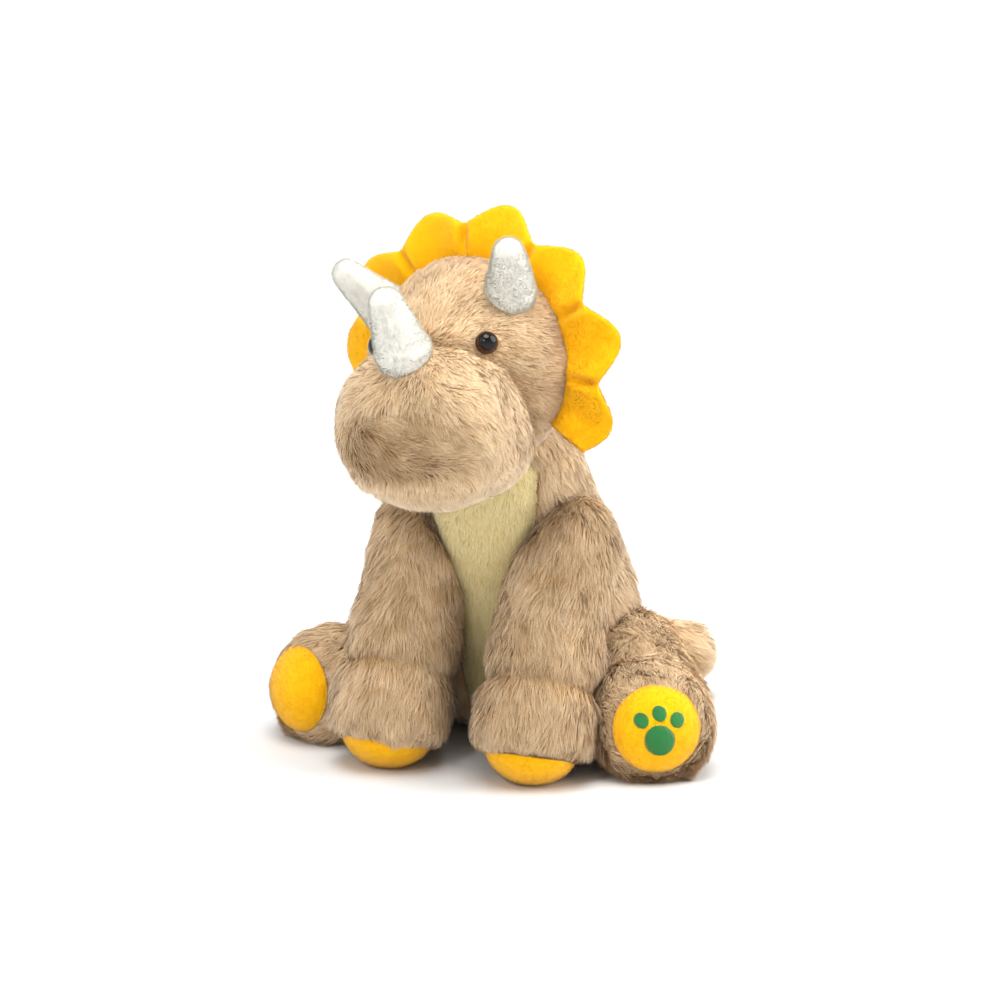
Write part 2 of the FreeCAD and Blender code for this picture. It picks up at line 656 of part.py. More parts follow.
os.makedirs("parts", exist_ok=True)
for thing in PIECES:
    if thing.Shape.isNull() or not thing.Shape.isValid():
        raise RuntimeError("%s is not a sound solid" % thing.Label)
    thing.Shape.exportStep("parts/%s.step" % thing.Label)
    print("%-28s solids %d  volume %.0f" % (thing.Label, len(thing.Shape.Solids), thing.Shape.Volume))
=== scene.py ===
"""Looks of a seated plush triceratops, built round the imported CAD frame.

The forms are round fields in millimetres, in the CAD frame.  Each one is meshed, pulled onto its
field and covered with pile: long combed fur, or a short fuzz for the cream, yellow and white parts.
"""
import math

import bmesh
import bpy
import numpy as np
from mathutils import Matrix, Vector, kdtree


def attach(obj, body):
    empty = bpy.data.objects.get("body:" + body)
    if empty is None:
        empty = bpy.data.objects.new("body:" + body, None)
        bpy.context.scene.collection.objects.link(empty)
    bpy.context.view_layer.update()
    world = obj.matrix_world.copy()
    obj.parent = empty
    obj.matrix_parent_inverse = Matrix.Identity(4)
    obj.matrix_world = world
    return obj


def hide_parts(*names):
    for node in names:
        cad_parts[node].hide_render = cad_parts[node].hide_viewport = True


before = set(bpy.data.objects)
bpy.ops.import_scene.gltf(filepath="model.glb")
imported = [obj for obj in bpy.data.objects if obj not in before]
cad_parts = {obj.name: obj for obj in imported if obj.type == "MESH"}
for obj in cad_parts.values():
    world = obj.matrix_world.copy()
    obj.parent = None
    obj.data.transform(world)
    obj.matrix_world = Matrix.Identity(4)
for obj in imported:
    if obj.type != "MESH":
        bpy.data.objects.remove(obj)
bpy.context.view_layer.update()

MM = 0.001
scene = bpy.context.scene


def vec(*numbers):
    return np.array(numbers, float)


def unit(v):
    return v / np.maximum(np.linalg.norm(v, axis=-1, keepdims=True), 1e-9)


# ---------------------------------------------------------------- the toy's places, in mm
RUMP, RUMP_R = vec(0, 32.93, 42), 48.0
NECK, NECK_R = vec(0, -7.07, 130), 36.0
HEAD_AT, HEAD_R = vec(0, -39.07, 187), 45.0
MUZZLE_LOW, MUZZLE_HIGH, MUZZLE_R = vec(-7, -36, -23), vec(7, -36, -23), 36.0
MUZZLE_AT, MUZZLE_SIZE, MUZZLE_POWER = vec(-1, -36, -23), vec(40, 35, 34), 2.5
MUZZLE_TOP_SEAM, CHIN_SEAM = -14.0, -40.0
SHOULDER, SHOULDER_R = vec(34, -13.07, 101), 21.0
PAW, PAW_R = vec(35, -55.07, 24), 24.5
HIP, HIP_R = vec(46, 32.93, 30), 28.0
FOOT, FOOT_R = vec(81.5, -27.07, 24.5), 25.0
TAIL_ROOT, TAIL_ROOT_R = vec(4, 68.93, 27), 17.0
TAIL_TIP, TAIL_TIP_R = vec(51, 98.93, 23), 14.0
SOLE_R = 19.5
ANKLE = 22.0
EYE = vec(27.5, -34, 11)
LEFT_BROW = (vec(31, -16, 31), 11.0, vec(40, -30, 49), 6.3)
RIGHT_BROW = (vec(-32, -17, 25), 11.0, vec(-42, -32, 43), 6.3)
NOSE_HORN = (vec(0, -58, 11), 12.0, vec(0, -68, 33), 7.0)
GAP = 0.5
SHOULDER_SWING, HIP_SWING, TAIL_SWING = (-1, 9, 20), (-1, 9, 20), (-12, 0, 12)
FRONT_SOLE, HIND_SOLE = unit(vec(0, -0.34, -0.94)), unit(vec(0.44, -0.89, 0.1))


def turn(axis, degrees):
    """A turn about an axis through the origin, as a matrix for row vectors."""
    return np.array(Matrix.Rotation(math.radians(degrees), 3, Vector(axis))).T


HEAD_TURN = turn((0, 1, 0), -6) @ turn((0, 0, 1), -8)


def from_head(points):
    return points @ HEAD_TURN + HEAD_AT


def to_head(points):
    return (points - HEAD_AT) @ HEAD_TURN.T


# ---------------------------------------------------------------- fields
def round_cone(p, a, ra, b, rb):
    """Distance to the form between two balls."""
    ba = b - a
    l2 = ba @ ba
    rr = ra - rb
    a2 = l2 - rr * rr
    pa = p - a
    y = pa @ ba
    z = y - l2
    x2 = ((pa * l2 - y[:, None] * ba) ** 2).sum(1)
    y2, z2 = y * y * l2, z * z * l2
    k = np.sign(rr) * rr * rr * x2
    out = (np.sqrt(x2 * a2 / l2) + y * rr) / l2 - ra
    out = np.where(np.sign(y) * a2 * y2 < k, np.sqrt(x2 + y2) / l2 - ra, out)
    return np.where(np.sign(z) * a2 * z2 > k, np.sqrt(x2 + z2) / l2 - rb, out)


def ball(p, centre, radius):
    return np.linalg.norm(p - centre, axis=1) - radius


def soft_min(a, b, k):
    h = np.clip(0.5 + 0.5 * (b - a) / k, 0, 1)
    return b + (a - b) * h - k * h * (1 - h)


def soft_max(a, b, k):
    return -soft_min(-a, -b, k)


def step(low, high, x):
    t = np.clip((x - low) / (high - low), 0, 1)
    return t * t * (3 - 2 * t)


def lumps(p, scale, seed):
    """Smooth noise from -1 to 1 whose bumps are about scale mm across."""
    table = np.random.default_rng(seed).uniform(-1, 1, 4096)
    q = p / scale + 1000.0
    cell = np.floor(q).astype(int)
    f = q - cell
    f = f * f * (3 - 2 * f)
    total = np.zeros(len(p))
    for dx in (0, 1):
        for dy in (0, 1):
            for dz in (0, 1):
                x, y, z = cell[:, 0] + dx, cell[:, 1] + dy, cell[:, 2] + dz
                value = table[(x * 73 + y * 1091 + z * 2621 + (x * y + y * z) * 7) % 4096]
                weight = (f[:, 0] if dx else 1 - f[:, 0]) * (f[:, 1] if dy else 1 - f[:, 1])
                total += value * weight * (f[:, 2] if dz else 1 - f[:, 2])
    return total


def groove(distance, depth, width):
    """How far a seam pulls the fabric in, at this distance from it."""
    return depth * np.exp(-(distance / width) ** 2)


def pear(p):
    return round_cone(p, RUMP, RUMP_R, NECK, NECK_R)


def belly_half(p):
    """Half the belly panel's width at each point's height."""
    return 13 + 13 * np.clip(p[:, 2] / 130, 0, 1) - 14 * step(136, 154, p[:, 2])


def before_axis(p):
    """Whether points are in front of the torso's own leaning axis."""
    return p[:, 1] < np.interp(p[:, 2], (RUMP[2], NECK[2]), (RUMP[1], NECK[1])) - 3


def torso_field(p):
    f = pear(p) + 0.9 * lumps(p, 27, 1) * step(-4, 12, np.linalg.norm(p - NECK, axis=1) - NECK_R - 6)
    f = f - 2.0 * step(15, 45, p[:, 1]) * step(140, 90, p[:, 2])
    belly_seams = groove(np.abs(p[:, 0]) - belly_half(p), 1.6, 3.0)
    f = f + np.where(before_axis(p), belly_seams, groove(p[:, 0], 1.8, 3.0))
    return soft_max(f, 0.2 - p[:, 2], 5)


def muzzle_field(q):
    """The boxy round muzzle, in the head's own frame."""
    scaled = np.abs((q - MUZZLE_AT) / MUZZLE_SIZE) ** MUZZLE_POWER
    return (scaled.sum(1) ** (1 / MUZZLE_POWER) - 1) * MUZZLE_R


def seam_sag(q):
    """How far the muzzle's front seams bow down towards its sides."""
    return 5 * (q[:, 0] / 30) ** 2


def muzzle_front(q):
    """1 on the muzzle's front panel, 0 off it."""
    sag = seam_sag(q)
    return (step(40, 22, np.abs(q[:, 0])) * step(MUZZLE_TOP_SEAM + 6, MUZZLE_TOP_SEAM - 4, q[:, 2] + sag)
            * step(CHIN_SEAM - 6, CHIN_SEAM + 6, q[:, 2] - sag * 0.5))


def muzzle_crease(q):
    """How far a point on the skin is from where the muzzle meets the head."""
    return muzzle_field(q) - ball(q, 0, HEAD_R)


def head_field(p):
    q = to_head(p)
    f = ball(q, 0, HEAD_R)
    muzzle = muzzle_field(q)
    middle = step(38, 24, np.abs(q[:, 0])) * (q[:, 1] < -40)
    sag = seam_sag(q)
    muzzle = muzzle + middle * (groove(q[:, 2] + sag - MUZZLE_TOP_SEAM, 0.8, 3.5)
                                + groove(q[:, 2] - sag * 0.5 - CHIN_SEAM, 1.2, 3.0))
    f = soft_min(f, muzzle, 1.0) + 1.0 * lumps(p, 20, 2) + groove(muzzle_crease(q), 3.0, 3.5)
    f = f + np.where(q[:, 1] < -4, groove(np.abs(q[:, 0]) - 15, 1.0, 2.6), 0) * (q[:, 2] > 5)
    return soft_max(f, NECK_R + GAP - np.linalg.norm(p - NECK, axis=1), 2)


def limb_field(root, root_r, end, end_r, swing, axis, seed, sole_way):
    """The field of a limb on the toy's left, cut back to the torso as far as it swings."""
    def field(p):
        f = round_cone(p, root, root_r, end, end_r) + 0.9 * lumps(p, 24, seed)
        if sole_way is not None:
            along = (p - end) @ sole_way
            off = np.linalg.norm(p - end - along[:, None] * sole_way, axis=1)
            cover = step(SOLE_R + 1.5, SOLE_R - 1.5, off) * (along > 0)
            f = f + 2.2 * cover + groove(off - SOLE_R - 1, 1.2, 1.8) * (along > 0)
            f = f + groove((p - end) @ unit(root - end) - ANKLE, 2.6, 6.0)
        for angle in swing:
            f = soft_max(f, GAP - pear((p - root) @ turn(axis, angle) + root), 1.5)
        return soft_max(f, 0.3 - p[:, 2], 4)
    return field


def gradient(field, p, h=0.25):
    g = np.stack([field(p + h * e) - field(p - h * e) for e in np.eye(3)], axis=1)
    return unit(g)


# ---------------------------------------------------------------- meshes
def mesh_object(name, verts, faces, smooth=True):
    mesh = bpy.data.meshes.new(name)
    mesh.from_pydata((np.asarray(verts) * MM).tolist(), [], faces)
    if smooth:
        mesh.polygons.foreach_set("use_smooth", np.ones(len(mesh.polygons), bool))
    mesh.update()
    obj = bpy.data.objects.new(name, mesh)
    scene.collection.objects.link(obj)
    return obj


def hull(points):
    """The closed convex skin of points in mm."""
    bm = bmesh.new()
    for point in points:
        bm.verts.new(point)
    out = bmesh.ops.convex_hull(bm, input=bm.verts)
    spare = [v for v in out["geom_interior"] if isinstance(v, bmesh.types.BMVert)]
    bmesh.ops.delete(bm, geom=spare, context="VERTS")
    bm.verts.index_update()
    verts = [tuple(v.co) for v in bm.verts]
    faces = [[v.index for v in f.verts] for f in bm.faces]
    bm.free()
    return verts, faces


def ball_points(centre, radius):
    bm = bmesh.new()
    bmesh.ops.create_icosphere(bm, subdivisions=4, radius=radius)
    points = np.array([v.co for v in bm.verts]) + centre
    bm.free()
    return points


def formed(name, parts, field, voxel, relax=3):
    """A closed even mesh of the joined parts, pulled onto a field.  Parts are lists of balls."""
    verts, faces = [], []
    for balls in parts:
        v, f = hull(np.concatenate([ball_points(c, r) for c, r in balls]))
        faces += [[i + len(verts) for i in face] for face in f]
        verts += v
    rough = mesh_object(name, verts, faces)
    remesh = rough.modifiers.new("Remesh", "REMESH")
    remesh.mode = "VOXEL"
    remesh.voxel_size = voxel * MM
    mesh = bpy.data.meshes.new_from_object(rough.evaluated_get(bpy.context.evaluated_depsgraph_get()))
    rough.modifiers.clear()
    rough.data = mesh
    mesh.name = name
    p = positions(mesh) / MM
    edges = np.zeros(len(mesh.edges) * 2, np.int32)
    mesh.edges.foreach_get("vertices", edges)
    a, b = edges.reshape(-1, 2).T
    count = np.bincount(np.concatenate([a, b]), minlength=len(p))[:, None]
    for _ in range(relax):
        for _ in range(2):
            p = p - gradient(field, p) * field(p)[:, None]
        mean = np.stack([np.bincount(np.concatenate([a, b]), np.concatenate([p[b, i], p[a, i]]), len(p))
                         for i in range(3)], axis=1) / count
        p = p + 0.5 * (mean - p)
    for _ in range(2):
        p = p - gradient(field, p) * field(p)[:, None]
    mesh.vertices.foreach_set("co", (p * MM).ravel())
    mesh.polygons.foreach_set("use_smooth", np.ones(len(mesh.polygons), bool))
    mesh.update()
    return rough


def positions(mesh):
    out = np.zeros(len(mesh.vertices) * 3, np.float32)
    mesh.vertices.foreach_get("co", out)
    return out.reshape(-1, 3).astype(float)


def grid_faces(rows, columns, start=0, flip=False):
    """Quads over a grid of points that don't wrap round."""
    i = np.arange(rows - 1)[:, None] * columns + np.arange(columns - 1)[None, :] + start
    quads = np.stack([i, i + 1, i + columns + 1, i + columns], axis=-1).reshape(-1, 4)
    return quads[:, ::-1] if flip else quads


# ---------------------------------------------------------------- materials
def colour(r, g, b):
    """A screen colour, 0 to 255, as the linear colour that a shader takes."""
    c = np.array([r, g, b]) / 255
    return (*np.where(c <= 0.04045, c / 12.92, ((c + 0.055) / 1.055) ** 2.4), 1.0)


def new_material(name, roughness, sheen=0.0, coat=0.0):
    material = bpy.data.materials.new(name)
    material.use_nodes = True
    shader = material.node_tree.nodes["Principled BSDF"]
    shader.inputs["Roughness"].default_value = roughness
    shader.inputs["Sheen Weight"].default_value = sheen
    shader.inputs["Sheen Roughness"].default_value = 0.5
    shader.inputs["Coat Weight"].default_value = coat
    shader.inputs["Coat Roughness"].default_value = 0.03
    shader.inputs["Specular IOR Level"].default_value = 0.5 if coat else 0.12
    return material, material.node_tree, shader


def add(tree, kind, links=(), **values):
    node = tree.nodes.new(kind)
    for key, value in values.items():
        if key in node.inputs:
            node.inputs[key].default_value = value
        else:
            setattr(node, key, value)
    for source, target in links:
        tree.links.new(source, node.inputs[target])
    return node


def ramp(tree, source, *stops):
    node = add(tree, "ShaderNodeValToRGB", [(source, "Fac")])
    elements = node.color_ramp.elements
    while len(elements) < len(stops):
        elements.new(0.5)
    for element, (place, shade) in zip(elements, stops):
        element.position = place
        element.color = shade
    return node.outputs["Color"]


def pile_material(name, root, middle, tip, dark, light, sheen):
    """Pile whose colour runs from a dark root, painted shade deep in the pile, to a light tip, painted
    highlight; each strand a little darker or lighter.
    """
    material, tree, shader = new_material(name, 0.85, sheen)
    uv = add(tree, "ShaderNodeUVMap", uv_map="OFBake")
    split = add(tree, "ShaderNodeSeparateXYZ", [(uv.outputs["UV"], "Vector")])
    # Painted shade at the roots and painted highlight at the tips.
    length = ramp(tree, split.outputs["Y"], (0.0, root), (0.45, middle), (1.0, tip))
    shade = ramp(tree, split.outputs["X"], (0.0, dark), (1.0, light))
    mix = add(tree, "ShaderNodeMix", data_type="RGBA", blend_type="MULTIPLY")
    mix.inputs["Factor"].default_value = 1.0
    tree.links.new(length, mix.inputs[6])
    tree.links.new(shade, mix.inputs[7])
    tree.links.new(mix.outputs[2], shader.inputs["Base Color"])
    return material


def cloth_material(name, low, high, scale, bump, sheen=0.25, roughness=0.9):
    """Knitted backing or short plush: two tones and a fine raised grain."""
    material, tree, shader = new_material(name, roughness, sheen)
    place = add(tree, "ShaderNodeTexCoord").outputs["Object"]
    broad = add(tree, "ShaderNodeTexNoise", [(place, "Vector")], Scale=scale * 0.12, Detail=3.0)
    fine = add(tree, "ShaderNodeTexNoise", [(place, "Vector")], Scale=scale, Detail=5.0)
    both = add(tree, "ShaderNodeMath", [(broad.outputs["Fac"], 0), (fine.outputs["Fac"], 1)], operation="ADD")
    half = add(tree, "ShaderNodeMath", [(both.outputs[0], 0)], operation="MULTIPLY")
    half.inputs[1].default_value = 0.5
    tree.links.new(ramp(tree, half.outputs[0], (0.35, low), (0.65, high)), shader.inputs["Base Color"])
    raised = add(tree, "ShaderNodeBump", [(fine.outputs["Fac"], "Height")], Strength=bump, Distance=0.0008)
    tree.links.new(raised.outputs["Normal"], shader.inputs["Normal"])
    return material


WHITE = (1, 1, 1, 1)
FUR = pile_material("long_fur", colour(184, 140, 94), colour(232, 193, 143), colour(255, 233, 197),
                    (0.58, 0.51, 0.43, 1), WHITE, 0.25)
CREAM = pile_material("cream_pile", colour(240, 210, 138), colour(253, 230, 160), colour(255, 244, 196),
                      (0.9, 0.87, 0.8, 1), WHITE, 0.25)
YELLOW = pile_material("yellow_pile", colour(252, 176, 0), colour(255, 194, 3), colour(255, 205, 18),
                       (0.93, 0.88, 0.7, 1), WHITE, 0.15)
IVORY = pile_material("white_pile", colour(230, 228, 217), colour(240, 238, 229), colour(246, 244, 237),
                      (0.95, 0.95, 0.92, 1), WHITE, 0.2)
FUR_SKIN = cloth_material("fur_backing", colour(178, 138, 96), colour(208, 168, 124), 900, 0.6)
CREAM_SKIN = cloth_material("cream_backing", colour(236, 208, 140), colour(250, 228, 164), 900, 0.5)
YELLOW_SKIN = cloth_material("yellow_backing", colour(252, 180, 0), colour(255, 196, 4), 1100, 0.35)
WHITE_SKIN = cloth_material("white_backing", colour(230, 228, 217), colour(241, 239, 231), 1100, 0.2)


# ---------------------------------------------------------------- pile
STRANDS_A_PIECE, TUFTS_A_PIECE = 38000, 190000
RINGS, TAPER = (0.0, 0.36, 0.7, 1.0), (1.0, 0.85, 0.6, 0.0)


def triangles(obj):
    mesh = obj.data
    mesh.calc_loop_triangles()
    tri = np.zeros(len(mesh.loop_triangles) * 3, np.int32)
    mesh.loop_triangles.foreach_get("vertices", tri)
    return positions(mesh) / MM, tri.reshape(-1, 3)


def scattered(obj, density, rng):
    """Even random points on a mesh with their normals, in mm."""
    p, tri = triangles(obj)
    normal = np.zeros(len(obj.data.vertices) * 3, np.float32)
    obj.data.vertices.foreach_get("normal", normal)
    normal = normal.reshape(-1, 3)
    a, b, c = p[tri[:, 0]], p[tri[:, 1]], p[tri[:, 2]]
    area = np.linalg.norm(np.cross(b - a, c - a), axis=1) / 2
    total = np.cumsum(area)
    pick = np.searchsorted(total, rng.uniform(0, total[-1], int(total[-1] * density)))
    u, v = rng.random(len(pick)), rng.random(len(pick))
    over = u + v > 1
    u[over], v[over] = 1 - u[over], 1 - v[over]
    w = np.stack([1 - u - v, u, v], axis=1)
    roots = (p[tri[pick]] * w[:, :, None]).sum(1)
    return roots, unit((normal[tri[pick]] * w[:, :, None]).sum(1))


def ribbon_mesh(name, points, side, normals, shade, material):
    """One mesh of tapered strands.  Points are strands by rings by 3, in mm."""
    count, rings = points.shape[:2]
    last = rings - 1
    per = 2 * last + 1
    verts = np.zeros((count, per, 3))
    verts[:, 0:2 * last:2] = points[:, :last] - side[:, :last]
    verts[:, 1:2 * last:2] = points[:, :last] + side[:, :last]
    verts[:, -1] = points[:, -1]
    verts[:, :, 2] = np.maximum(verts[:, :, 2], 0.25)
    quads = np.array([[2 * i, 2 * i + 1, 2 * i + 3, 2 * i + 2] for i in range(last - 1)]).reshape(-1)
    corner = np.concatenate([quads, [2 * last - 2, 2 * last - 1, 2 * last]]).astype(np.int32)
    loops = (np.arange(count, dtype=np.int32)[:, None] * per + corner[None, :]).ravel()
    sizes = np.tile(np.array([4] * (last - 1) + [3], np.int32), count)
    starts = np.concatenate([[0], np.cumsum(sizes)[:-1]]).astype(np.int32)
    mesh = bpy.data.meshes.new(name)
    mesh.vertices.add(count * per)
    mesh.vertices.foreach_set("co", (verts * MM).astype(np.float32).ravel())
    mesh.loops.add(len(loops))
    mesh.loops.foreach_set("vertex_index", loops)
    mesh.polygons.add(len(sizes))
    mesh.polygons.foreach_set("loop_start", starts)
    mesh.update(calc_edges=True)
    shares = np.array(RINGS if rings == len(RINGS) else np.linspace(0, 1, rings))
    t = np.concatenate([np.repeat(shares[:last], 2), [1.0]])
    uv = np.zeros((count, len(corner), 2), np.float32)
    uv[:, :, 0] = np.clip(shade, 0.02, 0.98)[:, None]
    uv[:, :, 1] = (0.02 + 0.96 * t)[corner][None, :]
    layer = mesh.uv_layers.new(name="OFBake")
    layer.data.foreach_set("uv", uv.ravel())
    mesh.polygons.foreach_set("use_smooth", np.ones(len(mesh.polygons), bool))
    each = np.repeat(normals[:, None, :], per, axis=1).reshape(-1, 3)
    mesh.normals_split_custom_set_from_vertices(each.astype(np.float32))
    mesh.materials.append(material)
    obj = bpy.data.objects.new(name, mesh)
    scene.collection.objects.link(obj)
    return obj


def grow(name, base, body, seed, density, length, width, lift, flow, material,
         keep=None, clump=5.0, pull=0.42, swirl=0.5, fine=0.3, sag=0.12, painted_light_and_tone=None):
    """Combed fur over a base.  length and lift take the roots; flow takes roots and gives a direction."""
    rng = np.random.default_rng(seed)
    roots, normal = scattered(base, density, rng)
    if keep is not None:
        chosen = keep(roots)
        roots, normal = roots[chosen], normal[chosen]
    count = len(roots)
    way = flow(roots)
    way = way - (way * normal).sum(1)[:, None] * normal
    way = unit(way)
    across = np.cross(normal, way)
    angle = (swirl * (lumps(roots, 14, seed + 1) + 0.6 * lumps(roots, 6, seed + 2))
             + rng.normal(0, fine, count))[:, None]
    way = way * np.cos(angle) + across * np.sin(angle)
    rise = lift(roots) + 0.24 * lumps(roots, 8, seed + 3) + rng.normal(0, 0.1, count)
    rise = np.clip(rise, 0.12, 0.95)[:, None]
    long = length(roots) * rng.uniform(0.75, 1.15, count) * (1 + 0.25 * lumps(roots, 8, seed + 4))

    def curve(t):
        out = normal * rise * (t - 0.32 * t * t) + way * (1 - rise * 0.55) * (0.55 * t + 0.45 * t * t)
        out = out * long[:, None]
        out[:, 2] -= sag * long * t * t
        return roots + out

    lines = np.stack([curve(t) for t in RINGS], axis=1)

    # Strands near each other lean into one tuft.
    centres = rng.choice(count, max(1, int(count / (density * clump * clump))), replace=False)
    tree = kdtree.KDTree(len(centres))
    for i, place in enumerate(roots[centres]):
        tree.insert(place, i)
    tree.balance()
    near = np.array([tree.find(place)[1] for place in roots + rng.normal(0, 0.3 * clump, (count, 3))])
    own = centres[near]
    strength = (pull * rng.uniform(0.55, 1.15, count))[:, None]
    for ring, t in enumerate(RINGS):
        lines[:, ring] += (lines[own, ring] - lines[:, ring]) * np.clip(strength * t ** 1.3, 0, 0.97)

    side_way = unit(np.cross(way, normal))
    roll = rng.uniform(-1.1, 1.1, count)[:, None]
    side_way = side_way * np.cos(roll) + normal * np.sin(roll)
    half = (width / 2 * rng.uniform(0.7, 1.2, count))[:, None, None] * np.array(TAPER)[None, :, None]
    shine = unit(normal + 0.35 * way + 0.28 * side_way * rng.uniform(-1, 1, count)[:, None])
    tuft = rng.uniform(0, 1, len(centres))[near]
    shade = (0.64 + 0.3 * (tuft - 0.5) + rng.normal(0, 0.14, count) + 0.22 * lumps(roots, 20, seed + 5)
             + 0.24 * lumps(roots, 6, seed + 6))
    # Painted light and shade, where given, added to each strand's shade.
    if painted_light_and_tone is not None:
        shade = shade + painted_light_and_tone(roots)
    pieces = []
    order = np.argsort(roots[:, 2], kind="stable")
    chunks = max(1, math.ceil(count / STRANDS_A_PIECE))
    for number, part in enumerate(np.array_split(order, chunks), start=1):
        label = name if chunks == 1 else "%s_%d" % (name, number)
        obj = ribbon_mesh(label, lines[part], side_way[part][:, None, :] * half[part], shine[part],
                          shade[part], material)
        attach(obj, body)
        pieces.append(obj)
    return pieces


def fuzz(name, base, body, seed, density, length, width, material, keep=None, flow=None, lean=0.5):
    """Short pile: one small three-sided strand for each tuft of the cloth."""
    rng = np.random.default_rng(seed)
    roots, normal = scattered(base, density, rng)
    if keep is not None:
        chosen = keep(roots)
        roots, normal = roots[chosen], normal[chosen]
    count = len(roots)
    way = np.tile(vec(0, 0, -1.0), (count, 1)) if flow is None else flow(roots)
    way = way + np.stack([lumps(roots, 9, seed + i) for i in (1, 2, 3)], axis=1) * 0.3
    way = way + rng.normal(0, 0.35, (count, 3))
    way = unit(way - (way * normal).sum(1)[:, None] * normal)
    long = (length * rng.uniform(0.7, 1.2, count))[:, None]
    bend = lean * rng.uniform(0.6, 1.3, count)[:, None]
    tips = roots + unit(normal + way * bend) * long
    points = np.stack([roots - 0.15 * normal, tips], axis=1)
    side = unit(np.cross(way, normal) + rng.normal(0, 0.5, (count, 3)))
    half = (width / 2 * rng.uniform(0.8, 1.2, count))[:, None, None] * np.array([1.0, 0])[None, :, None]
    shine = unit(normal + 0.2 * way)
    shade = 0.75 + 0.14 * lumps(roots, 6, seed + 7) + rng.normal(0, 0.1, count)
    pieces = []
    chunks = max(1, math.ceil(count / TUFTS_A_PIECE))
    for number, part in enumerate(np.array_split(np.arange(count), chunks), start=1):
        label = name if chunks == 1 else "%s_%d" % (name, number)
        obj = ribbon_mesh(label, points[part], side[part][:, None, :] * half[part], shine[part], shade[part],
                          material)
        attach(obj, body)
        pieces.append(obj)
    return pieces


def dress(obj, body, slot, fill, *nodes):
    """Ride a body and hide the CAD nodes that a stuffed piece stands for.  The slot and fill are not used."""
    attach(obj, body)
    if nodes:
        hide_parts(*nodes)


def paint(obj, first, second=None, where=None):
    """First material all over, second on the faces whose middle is where() says."""
    obj.data.materials.append(first)
    if second is None:
        return
    obj.data.materials.append(second)
    middles = np.zeros(len(obj.data.polygons) * 3, np.float32)
    obj.data.polygons.foreach_get("center", middles)
    obj.data.polygons.foreach_set("material_index", where(middles.reshape(-1, 3) / MM).astype(np.int32))


FULL_DENSITY = 3.6
DENSITY = FULL_DENSITY
SHORT_PILE = DENSITY / FULL_DENSITY
STRAND = 0.36
TORSO_FUR, LIMB_FUR, BELLY_PILE = 12, 11.5, 4.2


def constant(value):
    return lambda p: np.full(len(p), float(value))


# ---------------------------------------------------------------- torso
def on_belly(p):
    return (np.abs(p[:, 0]) < belly_half(p)) & before_axis(p) & (p[:, 2] > 5)


torso = formed("torso_plush", [[(RUMP, RUMP_R), (NECK, NECK_R)]], torso_field, 2.4)
paint(torso, FUR_SKIN, CREAM_SKIN, on_belly)
dress(torso, "torso", "long_plush", 0.75, "base_panel", "belly_panel", "left_torso_panel",
      "right_torso_panel", "torso_stuffing", "pellet_bag", "pellets")


def torso_clear(p):
    """Not under the head or behind a limb's root."""
    mirror = p.copy()
    mirror[:, 0] = np.abs(mirror[:, 0])
    return ((ball(to_head(p), 0, HEAD_R) > -2) & (p[:, 2] > 1.5)
            & (round_cone(mirror, SHOULDER, SHOULDER_R, PAW, PAW_R) > -3)
            & (round_cone(mirror, HIP, HIP_R, FOOT, FOOT_R) > -3)
            & (round_cone(p, TAIL_ROOT, TAIL_ROOT_R, TAIL_TIP, TAIL_TIP_R) > -2))


def down_the_body(p):
    return np.tile(unit(RUMP - NECK + vec(0, 0, -25)), (len(p), 1))


grow("torso_fur", torso, "torso", 11, DENSITY,
     lambda p: TORSO_FUR + 3 * step(10, 50, p[:, 1]) - 3 * step(100, 150, p[:, 2]), 0.4,
     constant(0.42), down_the_body, FUR, keep=lambda p: torso_clear(p) & ~on_belly(p))
grow("belly_pile", torso, "torso", 12, DENSITY * 1.4, constant(BELLY_PILE), STRAND, constant(0.4),
     down_the_body, CREAM, keep=lambda p: torso_clear(p) & on_belly(p), clump=3.0, pull=0.3,
     swirl=0.35)


# ---------------------------------------------------------------- limbs
def away_from_sole(end, way, reach, least):
    """1 over most of a limb, falling to the least share at the rim of its sole."""
    def share(p):
        along = (p - end) @ way
        off = np.linalg.norm(p - end - along[:, None] * way, axis=1)
        rim = np.hypot(np.maximum(0, off - SOLE_R), np.maximum(0, -(along - 8)))
        return least + (1 - least) * step(1, reach, rim)
    return share


def sole_axes(way):
    """The directions up and left across a sole that faces this way."""
    up = unit(np.cross(np.cross(way, vec(0, 0, 1)), way))
    return up, np.cross(up, way)


